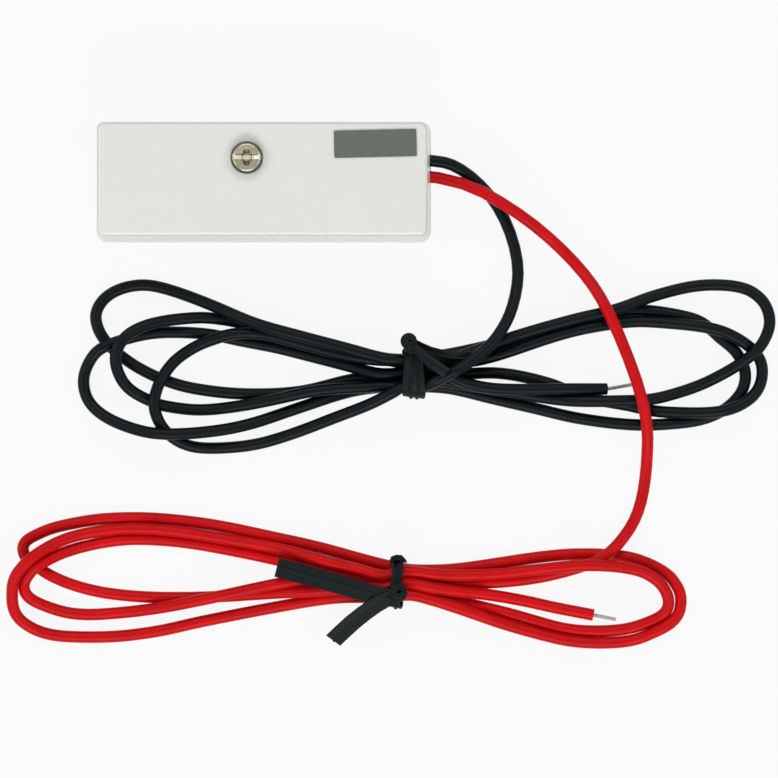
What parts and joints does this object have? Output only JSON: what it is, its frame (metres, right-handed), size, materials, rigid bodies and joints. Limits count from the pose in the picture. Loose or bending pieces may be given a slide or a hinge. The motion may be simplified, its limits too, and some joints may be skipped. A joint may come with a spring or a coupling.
{
  "type": "vibration sensor",
  "caption": "Flat moulded vibration sensor with a cover screw, a plain grey badge and single-core black and red leads, each wound into a hank and held by a twist tie.",
  "frame": {"origin": "middle of the housing's back, which lies on a wall or a frame", "axes": "+X along the housing towards the end where the leads come out, +Z out of the wall, through the cover"},
  "size_m": [0.1425, 0.0979, 0.017],
  "materials": {
    "housing_plastic": "off-white moulded plastic with a fine grain",
    "screw_steel": "nickel plated, slightly yellow",
    "badge_grey": "plain grey film",
    "insert_brass": "turned or rolled brass",
    "ceramic": "fired ceramic",
    "board_green": "glass-filled board with green lacquer",
    "chip_black": "moulded black epoxy",
    "can_aluminium": "drawn aluminium can",
    "tinned_metal": "tinned metal",
    "black_insulation": "satin black insulation",
    "red_insulation": "satin red insulation",
    "tie_plastic": "black plastic strip over a wire core"
  },
  "bodies": {
    "root": {"base": "housing_plastic", "cover": "housing_plastic", "threaded_insert": "insert_brass", "cover_screw": "screw_steel", "label": "badge_grey", "piezo_plate": "insert_brass", "piezo_ceramic": "ceramic", "circuit_board": "board_green", "amplifier_chip": "chip_black", "relay_chip": "chip_black", "storage_capacitor": "can_aluminium", "resistor_1": "ceramic", "resistor_2": "ceramic", "resistor_3": "ceramic", "black_terminal": "tinned_metal", "red_terminal": "tinned_metal", "ceramic_wire": "red_insulation", "plate_wire": "black_insulation", "black_lead": "black_insulation", "black_hank": "black_insulation", "black_tie": "tie_plastic", "black_bare_end": "tinned_metal", "red_lead": "red_insulation", "red_hank": "red_insulation", "red_tie": "tie_plastic", "red_bare_end": "tinned_metal"}
  },
  "joints": []
}
